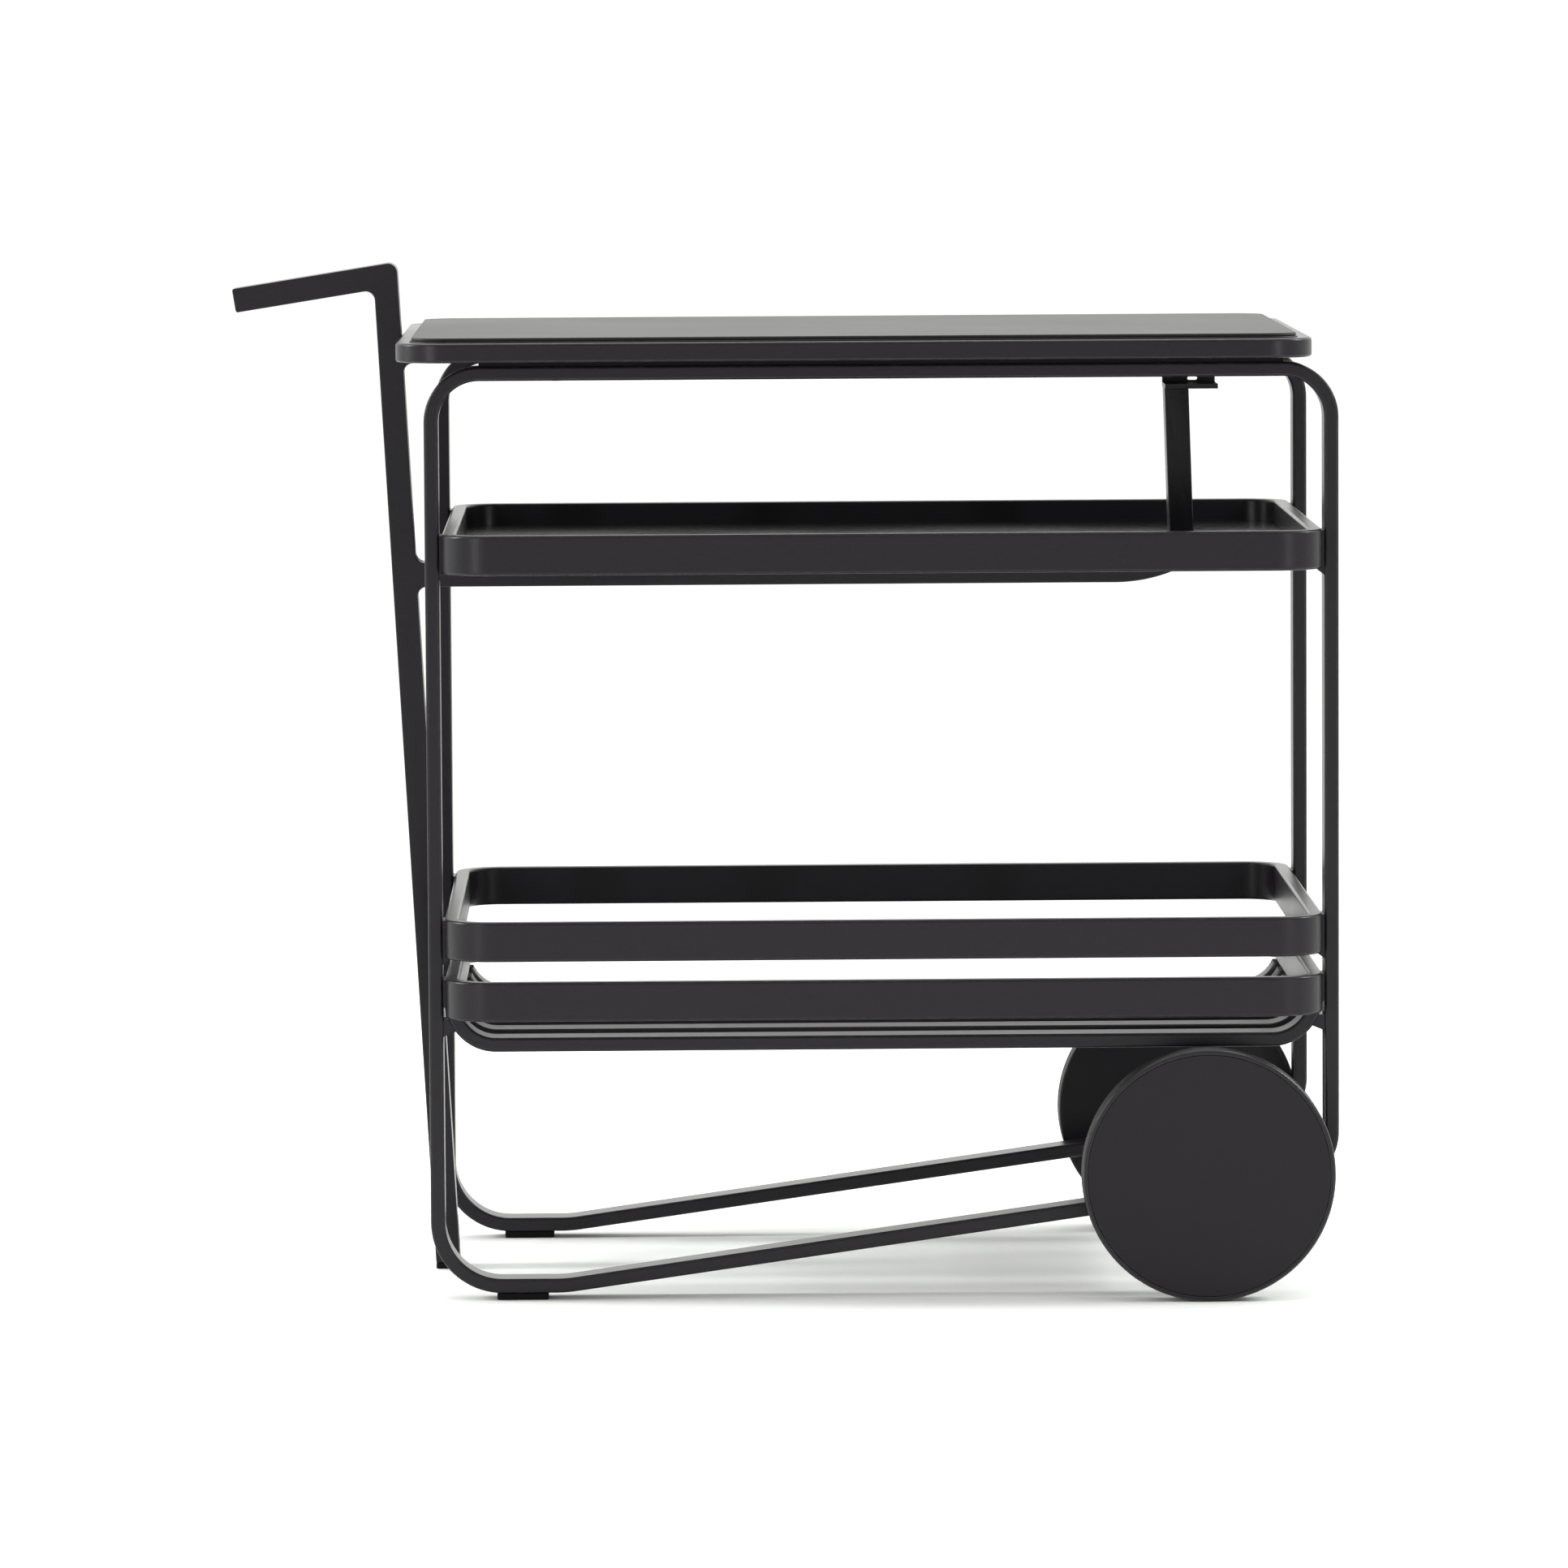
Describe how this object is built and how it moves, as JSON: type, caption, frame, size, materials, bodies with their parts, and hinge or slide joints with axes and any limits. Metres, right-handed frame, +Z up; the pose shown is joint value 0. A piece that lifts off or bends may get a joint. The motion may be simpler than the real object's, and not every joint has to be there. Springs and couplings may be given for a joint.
{
  "type": "bar cart",
  "caption": "Bar cart of rounded flat bar: sheet top, tray with rim, slatted shelf with guard rail, wheels at one end, feet and a pulling handle on a leaning spine at the other",
  "frame": {"origin": "centre of the bounding box at floor level", "axes": "+Z up; X along the cart from the handle at -X to the wheels at +X; Y across, front at -Y"},
  "size_m": [0.9267, 0.5, 0.8615],
  "materials": {
    "frame_metal": "charcoal powder coat, fine texture",
    "panel_metal": "charcoal powder coat, fine texture",
    "top_metal": "charcoal powder coat, satin",
    "core_board": "dark sealed board",
    "pad_rubber": "matt",
    "tyre_rubber": "matt",
    "wheel_body": "dark, satin",
    "wheel_cover": "charcoal powder coat, satin",
    "axle_steel": "ground bar",
    "hardware_steel": "blackened",
    "bush_plastic": "self-lubricating"
  },
  "bodies": {
    "cart": {"front_frame": "frame_metal", "back_frame": "frame_metal", "handle_spine": "frame_metal", "spine_foot_pad": "pad_rubber", "spine_tie_block": "frame_metal", "middle_tray_rim": "frame_metal", "middle_tray_floor": "panel_metal", "middle_tray_ribs": "frame_metal", "arm_pads": "frame_metal", "upper_rail": "frame_metal", "lower_rail": "frame_metal", "middle_tray_gussets": "frame_metal", "upper_rail_gussets": "frame_metal", "lower_rail_gussets": "frame_metal", "top_rim": "frame_metal", "top_core": "core_board", "top_plate": "top_metal", "top_spacers": "pad_rubber", "top_screws": "hardware_steel", "centre_post": "frame_metal", "post_bracket": "panel_metal", "bracket_screws": "hardware_steel", "front_foot_pad": "pad_rubber", "back_foot_pad": "pad_rubber", "foot_screws": "hardware_steel", "axle": "axle_steel", "axle_tube": "frame_metal", "axle_saddles": "frame_metal", "axle_spacers": "hardware_steel", "shelf_slat_1": "frame_metal", "shelf_slat_2": "frame_metal", "shelf_slat_3": "frame_metal", "shelf_slat_4": "frame_metal", "shelf_slat_5": "frame_metal", "shelf_slat_6": "frame_metal", "shelf_slat_7": "frame_metal", "front_wheel_washer": "axle_steel", "front_wheel_clip": "hardware_steel", "back_wheel_washer": "axle_steel", "back_wheel_clip": "hardware_steel"},
    "front_wheel": {"front_wheel_core": "wheel_body", "front_wheel_tyre": "tyre_rubber", "front_wheel_cover": "wheel_cover", "front_wheel_bushes": "bush_plastic"},
    "back_wheel": {"back_wheel_core": "wheel_body", "back_wheel_tyre": "tyre_rubber", "back_wheel_cover": "wheel_cover", "back_wheel_bushes": "bush_plastic"}
  },
  "joints": [
    {"name": "front_wheel_spin", "type": "hinge", "parent": "cart", "child": "front_wheel", "pos_m": [0.3525, -0.235, 0.1055], "axis": [0, 1, 0], "continuous": true},
    {"name": "back_wheel_spin", "type": "hinge", "parent": "cart", "child": "back_wheel", "pos_m": [0.3525, 0.235, 0.1055], "axis": [0, 1, 0], "continuous": true}
  ]
}
